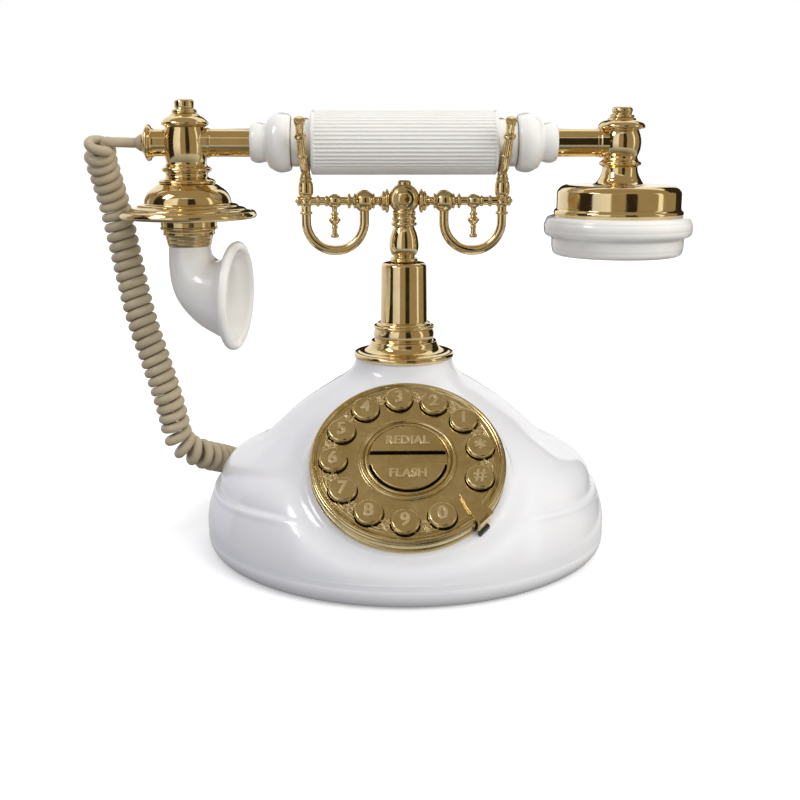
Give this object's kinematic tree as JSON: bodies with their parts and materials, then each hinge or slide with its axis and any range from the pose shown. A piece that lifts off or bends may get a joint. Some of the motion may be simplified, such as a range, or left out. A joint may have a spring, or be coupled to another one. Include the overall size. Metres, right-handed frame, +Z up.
{
  "type": "princess telephone",
  "caption": "Round weighted base with tilted push-button dial, baluster column, two-fork cradle and a lift-off handset with a horn mouthpiece on a curly cord.",
  "frame": {"origin": "on the column axis at table height", "axes": "+Z up, +X towards the receiver, -Y towards the user and the dial"},
  "size_m": [0.2743, 0.2016, 0.2005],
  "materials": {
    "white_base": "gloss",
    "white_handset": "gloss",
    "polished_gold": "polished",
    "antique_gold": "satin",
    "steel": "satin",
    "circuit_board": "matte",
    "black_plastic": "matte",
    "rubber": "matte",
    "cord_jacket": "satin",
    "clear_plastic": "gloss"
  },
  "bodies": {
    "base": {"base_housing": "white_base", "base_pan": "white_base", "rubber_feet": "rubber", "pan_screws": "steel", "ballast_plate": "steel", "main_board": "circuit_board", "ringer_speaker": "black_plastic", "hook_switch": "black_plastic", "handset_jack": "black_plastic", "line_jack": "black_plastic", "dial_bezel": "antique_gold", "dial_plate": "antique_gold", "finger_stop": "antique_gold", "key_board": "circuit_board", "key_mat": "rubber", "column_flange": "polished_gold", "column_nut": "steel", "column_sleeve": "polished_gold", "hook_spring": "steel", "cord_coil": "cord_jacket", "cord_tail_lower": "cord_jacket", "modular_plug": "clear_plastic"},
    "cradle": {"cradle_stem": "polished_gold", "cradle_hub": "polished_gold", "crossbar": "polished_gold", "hooks": "polished_gold", "fork_left": "polished_gold", "fork_right": "polished_gold", "hanging_drops": "polished_gold"},
    "handset": {"handset_tube": "polished_gold", "grip": "white_handset", "grip_beads": "white_handset", "transmitter_hub": "polished_gold", "hub_finials": "polished_gold", "transmitter_saucer": "polished_gold", "horn_collar": "polished_gold", "horn": "white_handset", "microphone": "black_plastic", "cord_bushing": "polished_gold", "strain_relief": "cord_jacket", "receiver_hub": "polished_gold", "receiver_cup": "polished_gold", "ear_cap": "white_handset", "earphone": "black_plastic", "cord_tail_upper": "cord_jacket"},
    "ringer_slider_body": {"ringer_slider": "black_plastic"},
    "key_body_1": {"key_1": "antique_gold"},
    "key_body_2": {"key_2": "antique_gold"},
    "key_body_3": {"key_3": "antique_gold"},
    "key_body_4": {"key_4": "antique_gold"},
    "key_body_5": {"key_5": "antique_gold"},
    "key_body_6": {"key_6": "antique_gold"},
    "key_body_7": {"key_7": "antique_gold"},
    "key_body_8": {"key_8": "antique_gold"},
    "key_body_9": {"key_9": "antique_gold"},
    "key_body_0": {"key_0": "antique_gold"},
    "key_body_star": {"key_star": "antique_gold"},
    "key_body_hash": {"key_hash": "antique_gold"},
    "key_body_redial": {"key_redial": "antique_gold"},
    "key_body_flash": {"key_flash": "antique_gold"}
  },
  "joints": [
    {"name": "handset_lift", "type": "slide", "parent": "base", "child": "handset", "axis": [0, 0, 1], "range_m": [0, 0.11], "deforming": ["cord_coil"]},
    {"name": "hook_rise", "type": "slide", "parent": "base", "child": "cradle", "axis": [0, 0, 1], "range_m": [0, 0.0044], "deforming": ["hook_spring"]},
    {"name": "ringer_select", "type": "slide", "parent": "base", "child": "ringer_slider_body", "axis": [-0.9986, -0.0523, 0], "range_m": [0, 0.0036]},
    {"name": "press_1", "type": "slide", "parent": "base", "child": "key_body_1", "axis": [0, 0.6334, -0.7738], "range_m": [0, 0.0016], "stiffness_N_per_m": 200, "springref_m": -0.0012},
    {"name": "press_2", "type": "slide", "parent": "base", "child": "key_body_2", "axis": [0, 0.6334, -0.7738], "range_m": [0, 0.0016], "stiffness_N_per_m": 200, "springref_m": -0.0012},
    {"name": "press_3", "type": "slide", "parent": "base", "child": "key_body_3", "axis": [0, 0.6334, -0.7738], "range_m": [0, 0.0016], "stiffness_N_per_m": 200, "springref_m": -0.0012},
    {"name": "press_4", "type": "slide", "parent": "base", "child": "key_body_4", "axis": [0, 0.6334, -0.7738], "range_m": [0, 0.0016], "stiffness_N_per_m": 200, "springref_m": -0.0012},
    {"name": "press_5", "type": "slide", "parent": "base", "child": "key_body_5", "axis": [0, 0.6334, -0.7738], "range_m": [0, 0.0016], "stiffness_N_per_m": 200, "springref_m": -0.0012},
    {"name": "press_6", "type": "slide", "parent": "base", "child": "key_body_6", "axis": [0, 0.6334, -0.7738], "range_m": [0, 0.0016], "stiffness_N_per_m": 200, "springref_m": -0.0012},
    {"name": "press_7", "type": "slide", "parent": "base", "child": "key_body_7", "axis": [0, 0.6334, -0.7738], "range_m": [0, 0.0016], "stiffness_N_per_m": 200, "springref_m": -0.0012},
    {"name": "press_8", "type": "slide", "parent": "base", "child": "key_body_8", "axis": [0, 0.6334, -0.7738], "range_m": [0, 0.0016], "stiffness_N_per_m": 200, "springref_m": -0.0012},
    {"name": "press_9", "type": "slide", "parent": "base", "child": "key_body_9", "axis": [0, 0.6334, -0.7738], "range_m": [0, 0.0016], "stiffness_N_per_m": 200, "springref_m": -0.0012},
    {"name": "press_0", "type": "slide", "parent": "base", "child": "key_body_0", "axis": [0, 0.6334, -0.7738], "range_m": [0, 0.0016], "stiffness_N_per_m": 200, "springref_m": -0.0012},
    {"name": "press_star", "type": "slide", "parent": "base", "child": "key_body_star", "axis": [0, 0.6334, -0.7738], "range_m": [0, 0.0016], "stiffness_N_per_m": 200, "springref_m": -0.0012},
    {"name": "press_hash", "type": "slide", "parent": "base", "child": "key_body_hash", "axis": [0, 0.6334, -0.7738], "range_m": [0, 0.0016], "stiffness_N_per_m": 200, "springref_m": -0.0012},
    {"name": "press_redial", "type": "slide", "parent": "base", "child": "key_body_redial", "axis": [0, 0.6334, -0.7738], "range_m": [0, 0.0016], "stiffness_N_per_m": 200, "springref_m": -0.0012},
    {"name": "press_flash", "type": "slide", "parent": "base", "child": "key_body_flash", "axis": [0, 0.6334, -0.7738], "range_m": [0, 0.0016], "stiffness_N_per_m": 200, "springref_m": -0.0012}
  ],
  "couplings": [
    {"joint": "hook_rise", "follows": "handset_lift", "ratio": 0.04}
  ]
}
